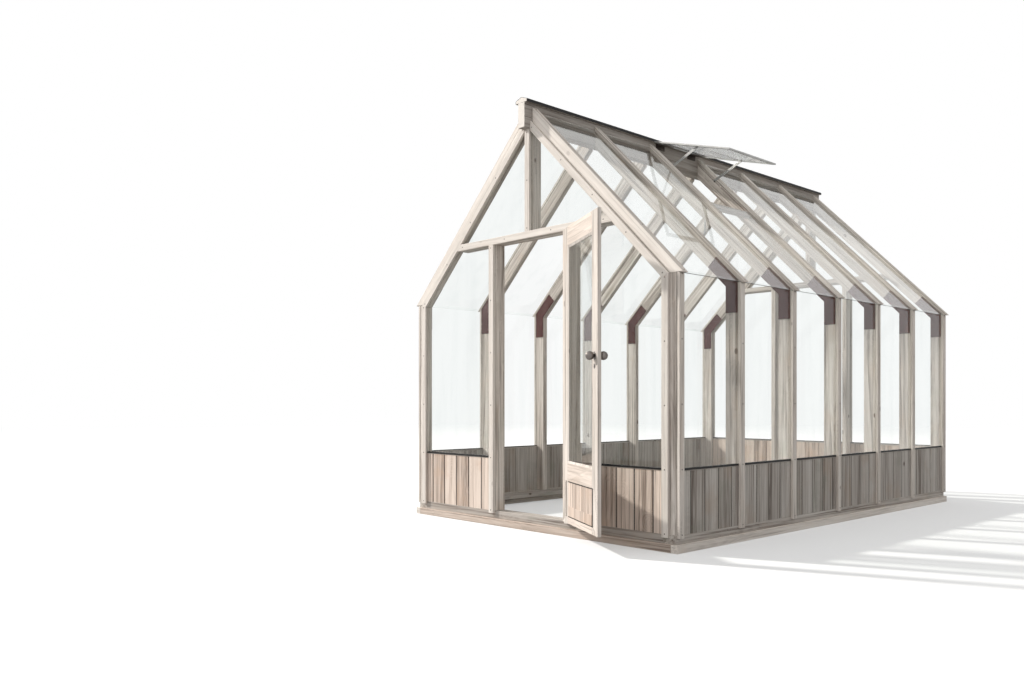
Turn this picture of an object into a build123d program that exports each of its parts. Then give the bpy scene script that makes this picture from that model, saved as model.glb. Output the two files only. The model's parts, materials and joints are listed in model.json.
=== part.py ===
from build123d import *
from math import cos, radians, sin, tan
import os

# A timber framed greenhouse: frames of posts and rafters, glass held on by cover strips, a boarded
# dado below it, a glazed door that stands open and a roof vent that is propped open.
# Sizes are millimetres and degrees. X runs to the right seen from the door end, Y runs to the back
# and Z is up. The origin is on the ground below the middle of the door, in the front face of the
# front frame.

# Frames of posts and rafters
frame_count = 7
frame_spacing = 655
frame_width = 2550
eave_height = 1705
roof_pitch = 45
timber_thick = 45
timber_deep = 95

# Ridge beam, the pitched saddle board on it and the sheet folded over that
ridge_thick = 64
ridge_deep = 174
ridge_rise = 53
ridge_overhang = 78
saddle_overhang = 23
saddle_edge_high = 18
saddle_peak_high = 38
cap_thick = 2

# Sills
ground_sill_high = 50
ground_sill_wide = 50
wall_sill_high = 55

# Glass and the cover strips on it
glass_thick = 4
pane_gap = 6
glass_overhang = 30
strip_thick = 20
strip_wide = 48
strip_over_sill = 17
strip_overhang = 30

# Boarded dado and the flashing on top of it
dado_high = 395
board_thick = 20
flashing_high = 7
flashing_lip = 3

# Gable ends
door_opening = 726
transom_height = 2063

# Metal plates that join posts and rafters
knee_post_leg = 215
knee_rafter_leg = 235
knee_plate_thick = 4
knee_plate_inset = 3

# Door
leaf_thick = 24
stile_wide = 105
top_rail_high = 125
middle_rail_bottom = 390
middle_rail_high = 116
bottom_rail_high = 42
door_panel_thick = 18
door_recess_wide = 40
door_recess_deep = 7
door_side_gap = 6
door_head_gap = 6
door_foot_gap = 6
door_open_angle = 150.7

# Door knobs
knob_height = 1184
knob_reach = 58
knob_radius = 27
knob_neck_radius = 9
rosette_radius = 25
rosette_thick = 4

# Door hinges
hinge_count = 3
hinge_end_distance = 190
hinge_high = 90
hinge_post_plate_wide = 22
hinge_leaf_plate_wide = 68
hinge_plate_thick = 2.5
knuckle_radius = 6
pin_radius = 3
hinge_play = 0.4

# Roof vent, and how far its hinge line lies below the top of the ridge beam
vent_bay = 2
vent_long = 730
vent_slope = 16
vent_hinge_gap = 3
vent_hinge_drop = 10
sash_bar_wide = 30
sash_thick = 12
trimmer_across = 544
stay_wide = 20
stay_thick = 4
stay_foot_across = 198
stay_foot_depth = 15
stay_head_across = 461
opener_radius = 5
opener_long = 210
opener_side_gap = 25
vent_bracket_wide = 110
vent_bracket_thick = 4
vent_bracket_reach = 70
vent_bracket_leg = 45
vent_bracket_inset = 60

sides = {"left": -1, "right": 1}
ends = {"front": -1, "back": 1}

pitch = radians(roof_pitch)
half_width = frame_width / 2
half_post = timber_thick / 2
bay_count = frame_count - 1
frame_starts = [number * frame_spacing for number in range(frame_count)]
length = frame_starts[-1] + timber_thick
strip_lap = (strip_wide - timber_thick) / 2
strip_out = glass_thick + strip_thick
wall_face = half_width + glass_thick
strip_face = half_width + strip_out
sill_top = ground_sill_high + wall_sill_high
dado_top = sill_top + dado_high
glass_bottom = dado_top + flashing_high
strip_bottom = sill_top - strip_over_sill
ridge_half = ridge_thick / 2
saddle_half = ridge_half + saddle_overhang
cap_half = saddle_half + cap_thick
door_half = door_opening / 2
gable_post_centre = door_half + half_post
transom_top = transom_height + timber_thick
gable_strip_depth = timber_deep + strip_lap
gable_glass_depth = gable_strip_depth - strip_wide / 2


def roof_height(across, depth):
    """Height at which a plane at this depth below the roof surface passes, across from the middle."""
    return eave_height + (half_width - across) * tan(pitch) - depth / cos(pitch)


def roof_across(height, depth):
    """Distance from the middle at which a plane at this depth below the roof surface has a height."""
    return half_width - (height - eave_height + depth / cos(pitch)) / tan(pitch)


def eave_corner(depth):
    """Corner at which the wall plane and the roof plane of the same depth meet."""
    return half_width - depth, roof_height(half_width - depth, depth)


def slope_point(up, depth):
    """Point a distance up the slope from the eave, at a depth below the roof surface."""
    across = half_width - up * cos(pitch) - depth * sin(pitch)
    height = eave_height + up * sin(pitch) - depth * cos(pitch)
    return across, height


def slope_distance(across):
    """Distance up the slope from the eave to a point across from the middle."""
    return (half_width - across) / cos(pitch)


ridge_top = roof_height(ridge_half, 0) + ridge_rise
ridge_bottom = ridge_top - ridge_deep


def block(x_from, x_to, y_from, y_to, z_from, z_to):
    """Block between two corners."""
    corner = Pos(min(x_from, x_to), min(y_from, y_to), min(z_from, z_to))
    size = (abs(x_to - x_from), abs(y_to - y_from), abs(z_to - z_from))
    return corner * Box(*size, align=(Align.MIN, Align.MIN, Align.MIN))


def prism(outline, y_from, y_to):
    """Solid with an outline of (x, z) points that runs back from one depth to another."""
    corners = [Vector(across, y_from, height) for across, height in outline]
    face = Face(Wire.make_polygon(corners, close=True))
    return extrude(face, amount=y_to - y_from, dir=(0, 1, 0))


def on_side(side, outline):
    """Outline drawn for the right side, on either side."""
    return [(side * across, height) for across, height in outline]


def gable_layer(end, out_from, out_to):
    """Depths between which a layer outside the end frame lies, at the front or the back."""
    if end == ends["front"]:
        return -out_to, -out_from
    return length + out_from, length + out_to


def write(node, solids):
    """Write the solids of one node to its file."""
    shape = solids[0] if len(solids) == 1 else Compound(solids)
    export_step(shape, f"parts/{node}.step")


# Sills

def make_ground_sills():
    """Timbers on the ground, the long ones running past the short ones."""
    inner = strip_face - ground_sill_wide
    for name, side in sides.items():
        sill = block(side * inner, side * strip_face, -strip_out, length + strip_out, 0, ground_sill_high)
        write(f"{name}_ground_sill", [sill])
    for name, end in ends.items():
        near, far = gable_layer(end, strip_out - ground_sill_wide, strip_out)
        write(f"{name}_ground_sill", [block(-inner, inner, near, far, 0, ground_sill_high)])


def make_wall_sills():
    """Timbers that the posts stand on, the front one also the threshold of the door."""
    inner = half_width - timber_deep
    for name, side in sides.items():
        sill = block(side * inner, side * wall_face, -glass_thick, length + glass_thick,
                     ground_sill_high, sill_top)
        write(f"{name}_wall_sill", [sill])
    for name, end in ends.items():
        near, far = gable_layer(end, -timber_deep, glass_thick)
        write(f"{name}_wall_sill", [block(-inner, inner, near, far, ground_sill_high, sill_top)])


# Frames

def make_frames():
    """Posts and rafters of all the frames, mitred where they meet at the eave."""
    post_outline = [(half_width - timber_deep, sill_top), (half_width, sill_top),
                    eave_corner(0), eave_corner(timber_deep)]
    rafter_outline = [eave_corner(0), (ridge_half, roof_height(ridge_half, 0)),
                      (ridge_half, roof_height(ridge_half, timber_deep)), eave_corner(timber_deep)]
    for name, side in sides.items():
        posts = []
        rafters = []
        for start in frame_starts:
            posts.append(prism(on_side(side, post_outline), start, start + timber_thick))
            rafters.append(prism(on_side(side, rafter_outline), start, start + timber_thick))
        write(f"{name}_posts", posts)
        write(f"{name}_rafters", rafters)


def pitched_top(half, edge_high, peak_high):
    """Outline, from left to right, of a low pitched board that stands on the ridge beam."""
    return [(-half, ridge_top), (-half, ridge_top + edge_high), (0, ridge_top + peak_high),
            (half, ridge_top + edge_high), (half, ridge_top)]


def make_ridge():
    """Beam between the rafters, the saddle board on it and the thin sheet over that."""
    near = -ridge_overhang
    far = length + ridge_overhang
    write("ridge_beam", [block(-ridge_half, ridge_half, near, far, ridge_bottom, ridge_top)])
    saddle = pitched_top(saddle_half, saddle_edge_high, saddle_peak_high)
    write("ridge_saddle", [prism(saddle, near, far)])
    sheet = pitched_top(cap_half, saddle_edge_high + cap_thick, saddle_peak_high + cap_thick)
    write("ridge_cap", [prism(sheet + saddle[::-1], near, far)])


def make_knee_plates():
    """Cranked plates on the faces of the frames that look along the building's inside."""
    near_depth = knee_plate_inset
    far_depth = timber_deep - knee_plate_inset
    foot = eave_height - knee_post_leg
    outline = [(half_width - near_depth, foot), eave_corner(near_depth),
               slope_point(knee_rafter_leg, near_depth), slope_point(knee_rafter_leg, far_depth),
               eave_corner(far_depth), (half_width - far_depth, foot)]
    for name, side in sides.items():
        plates = []
        for start in frame_starts[1:]:
            plates.append(prism(on_side(side, outline), start - knee_plate_thick, start))
        for start in frame_starts[:-1]:
            face = start + timber_thick
            plates.append(prism(on_side(side, outline), face, face + knee_plate_thick))
        write(f"{name}_knee_plates", plates)


# Long walls

def bay_between_posts(bay):
    """Depths of the faces of the two posts beside a bay."""
    return frame_starts[bay] + timber_thick, frame_starts[bay + 1]


def pane_span(bay):
    """Depths that the pane of a bay reaches, half way over the frames beside it."""
    start = frame_starts[bay] + half_post + pane_gap / 2 if bay > 0 else 0
    finish = frame_starts[bay + 1] + half_post - pane_gap / 2 if bay < bay_count - 1 else length
    return start, finish


def make_long_walls():
    """Dado, flashing, glass and cover strips of the two long walls."""
    strip_outline = [(wall_face, strip_bottom), (strip_face, strip_bottom),
                     (strip_face, roof_height(strip_face, 0)), (wall_face, roof_height(wall_face, 0))]
    flashings = []
    for name, side in sides.items():
        panels = []
        panes = []
        for bay in range(bay_count):
            near, far = bay_between_posts(bay)
            panels.append(block(side * (wall_face - board_thick), side * wall_face, near, far,
                                sill_top, dado_top))
            flashings.append(block(side * (wall_face - board_thick), side * (wall_face + flashing_lip),
                                   near + strip_lap, far - strip_lap, dado_top, glass_bottom))
            near, far = pane_span(bay)
            panes.append(block(side * half_width, side * wall_face, near, far,
                               glass_bottom, roof_height(wall_face, 0)))
        strips = []
        for start in frame_starts:
            strips.append(prism(on_side(side, strip_outline), start - strip_lap,
                                start + timber_thick + strip_lap))
        write(f"{name}_dado", panels)
        write(f"{name}_wall_glass", panes)
        write(f"{name}_wall_strips", strips)
    write("side_flashing", flashings)


# Roof

def roof_pane(side, bay, top_across):
    """Pane of a bay from past the eave up to a point across from the middle."""
    top = slope_distance(top_across)
    outline = [slope_point(-glass_overhang, 0), slope_point(top, 0),
               slope_point(top, -glass_thick), slope_point(-glass_overhang, -glass_thick)]
    return prism(on_side(side, outline), *pane_span(bay))


def make_roof():
    """Glass and cover strips of the two slopes, with the vent's bay left open at the top."""
    tip = strip_face + strip_overhang
    tip_height = roof_height(tip, -strip_out)
    strip_outline = [(ridge_half, roof_height(ridge_half, -glass_thick)),
                     (roof_across(tip_height, -glass_thick), tip_height), (tip, tip_height),
                     (ridge_half, roof_height(ridge_half, -strip_out))]
    for name, side in sides.items():
        panes = []
        for bay in range(bay_count):
            below_vent = side == sides["right"] and bay == vent_bay
            panes.append(roof_pane(side, bay, trimmer_across if below_vent else ridge_half))
        strips = []
        for start in frame_starts:
            strips.append(prism(on_side(side, strip_outline), start - strip_lap,
                                start + timber_thick + strip_lap))
        write(f"{name}_roof_glass", panes)
        write(f"{name}_roof_strips", strips)


# Gable ends

def gable_lower_pane(side, inner):
    """Outline of the pane between a gable post and the corner, cut off by the rafter."""
    top = transom_height + half_post - pane_gap / 2
    outer, shoulder = eave_corner(gable_glass_depth)
    outline = [(inner, glass_bottom), (outer, glass_bottom), (outer, shoulder),
               (roof_across(top, gable_glass_depth), top), (inner, top)]
    return on_side(side, outline)


def gable_upper_pane(side):
    """Outline of the pane between the transom, the king post and the rafter."""
    bottom = transom_height + half_post + pane_gap / 2
    inner = pane_gap / 2
    outline = [(inner, bottom), (roof_across(bottom, gable_glass_depth), bottom),
               (roof_across(ridge_bottom, gable_glass_depth), ridge_bottom), (inner, ridge_bottom)]
    return on_side(side, outline)


def make_gable_timbers(name, end):
    """Two posts, the transom between the rafters and the king post above it."""
    near, far = gable_layer(end, -timber_deep, 0)
    posts = [block(side * door_half, side * (door_half + timber_thick), near, far, sill_top, transom_height)
             for side in sides.values()]
    lower = roof_across(transom_height, timber_deep)
    upper = roof_across(transom_top, timber_deep)
    transom = prism([(-lower, transom_height), (lower, transom_height), (upper, transom_top),
                     (-upper, transom_top)], near, far)
    king_post = block(-half_post, half_post, near, far, transom_top, ridge_bottom)
    write(f"{name}_gable_posts", posts)
    write(f"{name}_transom", [transom])
    write(f"{name}_king_post", [king_post])


def make_gable_glass(name, end):
    """Panes beside the door and above the transom, and one in the middle of the back."""
    near, far = gable_layer(end, 0, glass_thick)
    inner = gable_post_centre + (pane_gap / 2 if end == ends["back"] else 0)
    panes = []
    for side in sides.values():
        panes.append(prism(gable_lower_pane(side, inner), near, far))
        panes.append(prism(gable_upper_pane(side), near, far))
    if end == ends["back"]:
        middle = gable_post_centre - pane_gap / 2
        top = transom_height + half_post - pane_gap / 2
        panes.append(block(-middle, middle, near, far, glass_bottom, top))
    write(f"{name}_gable_glass", panes)


def make_gable_dado():
    """Board panels and flashing between the posts, with the front's middle left to the door."""
    inner = door_half + timber_thick
    outer = half_width - timber_deep
    flashings = []
    for name, end in ends.items():
        spans = [(inner, outer), (-outer, -inner)]
        if end == ends["back"]:
            spans.append((-door_half, door_half))
        near, far = gable_layer(end, glass_thick - board_thick, glass_thick)
        write(f"{name}_dado", [block(left, right, near, far, sill_top, dado_top) for left, right in spans])
        near, far = gable_layer(end, glass_thick - board_thick, glass_thick + flashing_lip)
        for left, right in spans:
            flashings.append(block(left + strip_lap, right - strip_lap, near, far, dado_top, glass_bottom))
    write("gable_flashing", flashings)


def make_gable_strips(name, end):
    """Cover strips on the corner posts, gable posts, king post, transom and rafters."""
    near, far = gable_layer(end, glass_thick, strip_out)
    half_strip = strip_wide / 2
    outer_depth = gable_strip_depth - strip_wide
    inner_corner = eave_corner(gable_strip_depth)
    outer_corner = eave_corner(outer_depth)
    corner_outline = [(inner_corner[0], strip_bottom), (outer_corner[0], strip_bottom),
                      outer_corner, inner_corner]
    rafter_outline = [inner_corner, outer_corner, (ridge_half, roof_height(ridge_half, outer_depth)),
                      (ridge_half, roof_height(ridge_half, gable_strip_depth))]
    lower_edge = transom_height - strip_lap
    upper_edge = transom_top + strip_lap
    transom_outline = [(-roof_across(lower_edge, gable_strip_depth), lower_edge),
                       (roof_across(lower_edge, gable_strip_depth), lower_edge),
                       (roof_across(upper_edge, gable_strip_depth), upper_edge),
                       (-roof_across(upper_edge, gable_strip_depth), upper_edge)]
    uprights = []
    rafters = []
    for side in sides.values():
        uprights.append(prism(on_side(side, corner_outline), near, far))
        uprights.append(block(side * (gable_post_centre - half_strip),
                              side * (gable_post_centre + half_strip), near, far, strip_bottom, lower_edge))
        rafters.append(prism(on_side(side, rafter_outline), near, far))
    uprights.append(block(-half_strip, half_strip, near, far, upper_edge, ridge_bottom))
    write(f"{name}_post_strips", uprights)
    write(f"{name}_rafter_strips", rafters)
    write(f"{name}_transom_strip", [prism(transom_outline, near, far)])


# Roof vent

vent_near = frame_starts[vent_bay] + half_post
vent_far = frame_starts[vent_bay + 1] + half_post
vent_pivot_across = cap_half + vent_hinge_gap
vent_pivot_height = ridge_top - vent_hinge_drop
vent_angle = radians(vent_slope)


def vent_point(down, above):
    """Point a distance down the open vent from its hinge line, above its underside."""
    across = vent_pivot_across + down * cos(vent_angle) + above * sin(vent_angle)
    height = vent_pivot_height - down * sin(vent_angle) + above * cos(vent_angle)
    return across, height


def vent_height(across, above):
    """Height of the plane of the open vent's underside, or of one above it, across from the middle."""
    return vent_pivot_height - (across - vent_pivot_across) * tan(vent_angle) + above / cos(vent_angle)


def vent_slab(down_from, down_to, above_from, above_to, y_from, y_to):
    """Block that lies along the open vent."""
    outline = [vent_point(down_from, above_from), vent_point(down_to, above_from),
               vent_point(down_to, above_to), vent_point(down_from, above_to)]
    return prism(outline, y_from, y_to)


def make_vent_sash():
    """Frame and glass of the vent."""
    inner_near = vent_near + sash_bar_wide
    inner_far = vent_far - sash_bar_wide
    inner_end = vent_long - sash_bar_wide
    side_bars = [vent_slab(0, vent_long, 0, sash_thick, vent_near, inner_near),
                 vent_slab(0, vent_long, 0, sash_thick, inner_far, vent_far)]
    end_bars = [vent_slab(0, sash_bar_wide, 0, sash_thick, inner_near, inner_far),
                vent_slab(inner_end, vent_long, 0, sash_thick, inner_near, inner_far)]
    glass_low = (sash_thick - glass_thick) / 2
    glass = vent_slab(sash_bar_wide, inner_end, glass_low, glass_low + glass_thick, inner_near, inner_far)
    write("vent_side_bars", side_bars)
    write("vent_end_bars", end_bars)
    write("vent_glass", [glass])


def make_vent_trimmer():
    """Bar between two rafters that carries the glass below the vent, and the rod that hangs from it."""
    near, far = bay_between_posts(vent_bay)
    middle = slope_distance(trimmer_across)
    outline = [slope_point(middle - half_post, 0), slope_point(middle + half_post, 0),
               slope_point(middle + half_post, timber_thick), slope_point(middle - half_post, timber_thick)]
    trimmer = prism(outline, near, far)
    write("vent_trimmer", [trimmer])
    across, height = slope_point(middle, timber_thick)
    rod = Cylinder(opener_radius, opener_long, align=(Align.CENTER, Align.CENTER, Align.MAX))
    placed = Pos(across, near + opener_side_gap, height + opener_radius) * rod
    write("vent_opener", [placed - trimmer])


def make_vent_stays():
    """Flat bars that prop the vent open, from the rafters beside it to its side bars."""
    near, far = bay_between_posts(vent_bay)
    foot = Vector(stay_foot_across, 0, roof_height(stay_foot_across, stay_foot_depth))
    reach = (stay_head_across - vent_pivot_across) / cos(vent_angle)
    head_across, head_height = vent_point(reach, 0)
    head = Vector(head_across, 0, head_height)
    direction = (head - foot).normalized()
    half_side = Vector(-direction.Z, 0, direction.X) * (stay_wide / 2)
    past_head = head + direction * stay_wide
    corners = [foot - half_side, past_head - half_side, past_head + half_side, foot + half_side]
    outline = [(corner.X, corner.Z) for corner in corners]
    stays = []
    for y_from in (near + strip_lap, far - strip_lap - stay_thick):
        above_underside = vent_slab(0, vent_long, 0, vent_long, y_from, y_from + stay_thick)
        stays.append(prism(outline, y_from, y_from + stay_thick) - above_underside)
    write("vent_stays", stays)


def make_vent_brackets():
    """Angle brackets under the upper end of the vent, which hold it to the side of the ridge beam."""
    leg_across = ridge_half + vent_bracket_thick
    leg_foot = vent_height(ridge_half, 0) - vent_bracket_leg
    reach_across = vent_pivot_across + vent_bracket_reach
    outline = [(ridge_half, leg_foot), (leg_across, leg_foot),
               (leg_across, vent_height(leg_across, -vent_bracket_thick)),
               (reach_across, vent_height(reach_across, -vent_bracket_thick)),
               (reach_across, vent_height(reach_across, 0)), (ridge_half, vent_height(ridge_half, 0))]
    near = vent_near + vent_bracket_inset
    far = vent_far - vent_bracket_inset - vent_bracket_wide
    write("vent_brackets", [prism(outline, start, start + vent_bracket_wide) for start in (near, far)])


# Door, drawn shut and then swung open on its hinges

leaf_half = door_half - strip_lap - door_side_gap
leaf_bottom = sill_top + door_foot_gap
leaf_top = transom_height - strip_lap - door_head_gap
leaf_outer = -strip_out
leaf_inner = leaf_outer + leaf_thick
hinge_across = gable_post_centre
hinge_depth = leaf_outer - knuckle_radius - hinge_play
lock_stile_centre = -leaf_half + stile_wide / 2
hinge_line = Pos(hinge_across, hinge_depth, 0)
door_swing = hinge_line * Rot(0, 0, door_open_angle) * hinge_line.inverse()


def swung(solids):
    """The same solids with the door open."""
    return [door_swing * solid for solid in solids]


def make_door_leaf():
    """Stiles, rails, board panel and glass of the door."""
    inner = leaf_half - stile_wide
    glass_low = middle_rail_bottom + middle_rail_high
    glass_top = leaf_top - top_rail_high
    panel_bottom = leaf_bottom + bottom_rail_high
    middle = (leaf_outer + leaf_inner) / 2

    def rail(z_from, z_to):
        return block(-inner, inner, leaf_outer, leaf_inner, z_from, z_to)

    def infill(thick, z_from, z_to):
        return block(-inner, inner, middle - thick / 2, middle + thick / 2, z_from, z_to)

    def recess(side, face, inward):
        return block(side * inner, side * (inner + door_recess_wide), face, face + inward * door_recess_deep,
                     panel_bottom, middle_rail_bottom)

    stiles = []
    for side in sides.values():
        stile = block(side * inner, side * leaf_half, leaf_outer, leaf_inner, leaf_bottom, leaf_top)
        stiles.append(stile - recess(side, leaf_outer, 1) - recess(side, leaf_inner, -1))
    rails = [rail(leaf_bottom, panel_bottom), rail(middle_rail_bottom, glass_low), rail(glass_top, leaf_top)]
    write("door_stiles", swung(stiles))
    write("door_rails", swung(rails))
    write("door_panel", swung([infill(door_panel_thick, panel_bottom, middle_rail_bottom)]))
    write("door_glass", swung([infill(glass_thick, glass_low, glass_top)]))


def make_door_knobs():
    """Round knob with a neck and a rosette on each face of the door."""
    upright = (Align.CENTER, Align.CENTER, Align.MIN)
    knob = Cylinder(rosette_radius, rosette_thick, align=upright)
    knob += Cylinder(knob_neck_radius, knob_reach - knob_radius, align=upright)
    knob += Pos(0, 0, knob_reach - knob_radius) * Sphere(knob_radius)
    outer = Pos(lock_stile_centre, leaf_outer, knob_height) * Rot(90, 0, 0) * knob
    inner = Pos(lock_stile_centre, leaf_inner, knob_height) * Rot(-90, 0, 0) * knob
    write("door_knobs", swung([outer, inner]))


def hinge_half(height, side, plate_wide, plate_seat, knuckles):
    """One half of a hinge: its plate on one side of the pin, and the knuckles that belong to it.

    The plate stands off the strip as far as the play, and lies on its own timber from the seat on.
    """
    clear = knuckle_radius + hinge_play
    bottom = height - hinge_high / 2
    top = height + hinge_high / 2
    face = leaf_outer - hinge_play - hinge_plate_thick
    back = leaf_outer - hinge_play
    plate = block(hinge_across + side * clear, hinge_across + side * plate_wide, face, back, bottom, top)
    plate += block(hinge_across + side * plate_seat, hinge_across + side * plate_wide, face, leaf_outer,
                   bottom, top)
    for z_from, z_to in knuckles:
        tube = Cylinder(knuckle_radius, z_to - z_from, align=(Align.CENTER, Align.CENTER, Align.MIN))
        plate += hinge_line * Pos(0, 0, z_from) * tube
        plate += block(hinge_across, hinge_across + side * (clear + hinge_play), face, back, z_from, z_to)
    return plate


def make_door_hinges():
    """Butt hinges, with the middle knuckle on the door and the pin and outer knuckles on the post."""
    first = leaf_bottom + hinge_end_distance
    last = leaf_top - hinge_end_distance
    clear = knuckle_radius + hinge_play
    leaf_seat = hinge_across - leaf_half
    post_halves = []
    leaf_halves = []
    for number in range(hinge_count):
        height = first + (last - first) * number / (hinge_count - 1)
        bottom = height - hinge_high / 2
        top = height + hinge_high / 2
        third = hinge_high / 3
        upright = (Align.CENTER, Align.CENTER, Align.MIN)
        pin_foot = hinge_line * Pos(0, 0, bottom)
        pin = pin_foot * Cylinder(pin_radius, hinge_high, align=upright)
        bore = pin_foot * Cylinder(pin_radius + hinge_play, hinge_high, align=upright)
        outer_knuckles = [(bottom, bottom + third), (top - third, top)]
        middle_knuckle = [(bottom + third + hinge_play, top - third - hinge_play)]
        post_halves.append(hinge_half(height, 1, hinge_post_plate_wide, clear, outer_knuckles) + pin)
        leaf_halves.append(hinge_half(height, -1, hinge_leaf_plate_wide, leaf_seat, middle_knuckle) - bore)
    write("door_hinge_post_halves", post_halves)
    write("door_hinge_leaf_halves", swung(leaf_halves))


os.makedirs("parts", exist_ok=True)
make_ground_sills()
make_wall_sills()
make_frames()
make_ridge()
make_knee_plates()
make_long_walls()
make_roof()
for end_name, end_side in ends.items():
    make_gable_timbers(end_name, end_side)
    make_gable_glass(end_name, end_side)
    make_gable_strips(end_name, end_side)
make_gable_dado()
make_vent_sash()
make_vent_trimmer()
make_vent_stays()
make_vent_brackets()
make_door_leaf()
make_door_knobs()
make_door_hinges()
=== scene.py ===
import json
import math
import random
from collections import namedtuple

import bmesh
import bpy
from mathutils import Euler, Matrix, Vector


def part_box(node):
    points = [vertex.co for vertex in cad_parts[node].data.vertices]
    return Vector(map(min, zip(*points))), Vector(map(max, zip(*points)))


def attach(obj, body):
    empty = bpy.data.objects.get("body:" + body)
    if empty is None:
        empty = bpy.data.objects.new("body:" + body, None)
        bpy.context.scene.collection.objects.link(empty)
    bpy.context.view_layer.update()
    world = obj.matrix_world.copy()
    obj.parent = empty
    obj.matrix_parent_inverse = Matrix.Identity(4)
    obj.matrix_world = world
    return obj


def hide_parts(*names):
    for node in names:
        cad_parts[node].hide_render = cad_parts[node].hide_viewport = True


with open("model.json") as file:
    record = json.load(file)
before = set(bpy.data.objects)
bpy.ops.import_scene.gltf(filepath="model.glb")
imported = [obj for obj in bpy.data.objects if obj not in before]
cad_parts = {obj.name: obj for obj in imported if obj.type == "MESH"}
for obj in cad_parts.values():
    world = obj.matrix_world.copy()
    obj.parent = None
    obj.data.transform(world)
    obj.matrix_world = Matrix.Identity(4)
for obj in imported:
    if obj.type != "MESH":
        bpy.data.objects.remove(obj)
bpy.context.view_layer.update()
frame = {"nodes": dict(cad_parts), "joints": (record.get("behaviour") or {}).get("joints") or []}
nodes = frame["nodes"]

# Places that follow from the frame, in metres. X runs to the right seen from the door end, Y to the back.
SIDES = {"left": -1, "right": 1}
ENDS = {"front": -1, "back": 1}
BUILDING = "building"
DOOR = "door"
DOOR_HINGE = frame["joints"][0]
DOOR_OPEN = math.radians(-DOOR_HINGE["range_deg"][0])
SILL_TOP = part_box("right_wall_sill")[1].z
DADO_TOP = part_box("right_dado")[1].z
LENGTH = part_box("right_wall_glass")[1].y
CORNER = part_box("right_wall_sill")[0].y

# Sections of boards: the gap to the next one, the chamfer, and the tongue in the gap with what lies behind it
BoardSection = namedtuple("BoardSection", "gap chamfer tongue behind")
DADO_SECTION = BoardSection(gap=0.009, chamfer=0.003, tongue=0.004, behind=0.003)
DOOR_SECTION = BoardSection(gap=0.002, chamfer=0.003, tongue=0.006, behind=0.005)

# Dado boards
BOARD_PITCH = 0.148
BOARD_LEAST = 0.014
BOARD_PROUD = 0.0012
# Depth behind the faces of the nearly black liners that paint shade into the board gaps and round the door's
# panel
GAP_SHADE_DEPTH = 0.004
RAIL_HIGH = 0.010
RAIL_PROUD = 0.002
LIP_HIGH = 0.006
LIP_THICK = 0.0012

# Boards of the door's lower panel, and the plain board along their foot
DOOR_BOARD_PITCH = 0.0626
DOOR_FOOT_HIGH = 0.064
DOOR_FOOT_PROUD = 0.0008
DOOR_PANEL_GAP = 0.009
DOOR_PANEL_PROUD = 0.002

# Barge boards over the edges of the roof's glass at the gables
BARGE_GAP = 0.004
BARGE_SUNK = 0.0015

# Glazing beads of the door
DOOR_BEAD_WIDE = 0.014
DOOR_BEAD_SUNK = 0.001
DOOR_BEAD_FALL = 2 / 3

# Keyhole plate of the door
PLATE_RADIUS = 0.015
PLATE_TOP_RADIUS = 0.0132
PLATE_PROUD = 0.0022
PLATE_EDGE_HIGH = 0.0011
PLATE_DROP = 0.062
KEYHOLE_RADIUS = 0.0034
KEYHOLE_LONG = 0.010
KEYHOLE_ROUND_UP = KEYHOLE_LONG / 3
KEYHOLE_PROUD = 0.0004

# Screws, with a round head that has a socket. Its profile is in shares of the radius and of the height.
SCREW_RADIUS = 0.0042
SCREW_PROUD = 0.0011
SCREW_SUNK = 0.0006
SCREW_PROFILE = [(1.0, 0.35), (0.82, 0.85), (0.55, 1.0), (0.42, 1.0), (0.36, 0.2)]
SCREW_SPACING = 0.42
SCREW_END = 0.022
SCREW_SIDES = 12
HINGE_SCREW_COUNT = 3
HINGE_SCREW_RADIUS = 0.0033
HINGE_POST_SCREW = 0.0142
HINGE_LEAF_SCREW = 0.050
HINGE_PLATE_THICK = 0.0029
BOLT_RADIUS = 0.0065
BOLT_PROUD = 0.0032
BOLT_END = 0.012

# Door knobs
ROSETTE_RADIUS = 0.025
ROSETTE_TOP_RADIUS = 0.0225
ROSETTE_THICK = 0.004
ROSETTE_EDGE_HIGH = 0.002
NECK_RADIUS = 0.009
NECK_FOOT_RADIUS = 0.01125
KNOB_RADIUS = 0.027
KNOB_REACH = 0.058
KNOB_TIP = 0.12
KNOB_STEPS = 18
KNOB_SIDES = 40
SMOOTH_ANGLE = math.radians(35)

# Bevels of the worn edges, and the distance within which the points of a mesh are one
TIMBER_BEVEL = 0.0022
STRIP_BEVEL = 0.0018
METAL_BEVEL = 0.0008
BEVEL_STEPS = 2
WELD_DISTANCE = 0.00001


# Material nodes

def put(tree, kind, inputs=None, **settings):
    """Add a node with its settings, and link or set its inputs."""
    made = tree.nodes.new(kind)
    for name, value in settings.items():
        setattr(made, name, value)
    for name, value in (inputs or {}).items():
        if isinstance(value, bpy.types.NodeSocket):
            tree.links.new(value, made.inputs[name])
        else:
            made.inputs[name].default_value = value
    return made


def calculate(tree, operation, first, second=0.0):
    """Result of a math node."""
    return put(tree, "ShaderNodeMath", {0: first, 1: second}, operation=operation).outputs[0]


def weighted_sum(tree, *parts):
    """Sum of values, each times its weight."""
    shares = [calculate(tree, "MULTIPLY", value, weight) for value, weight in parts]
    total = shares[0]
    for share in shares[1:]:
        total = calculate(tree, "ADD", total, share)
    return total


def between(tree, value, low, high, low_out=0.0, high_out=1.0):
    """A value mapped smoothly from one range to another."""
    mapped = put(tree, "ShaderNodeMapRange", {"Value": value, "From Min": low, "From Max": high,
                                              "To Min": low_out, "To Max": high_out},
                 interpolation_type="SMOOTHSTEP")
    return mapped.outputs["Result"]


# Numbers of a mix node's sockets when it mixes colours
MIX_SHARE = 0
MIX_FIRST = 6
MIX_SECOND = 7
MIX_RESULT = 2


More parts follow.
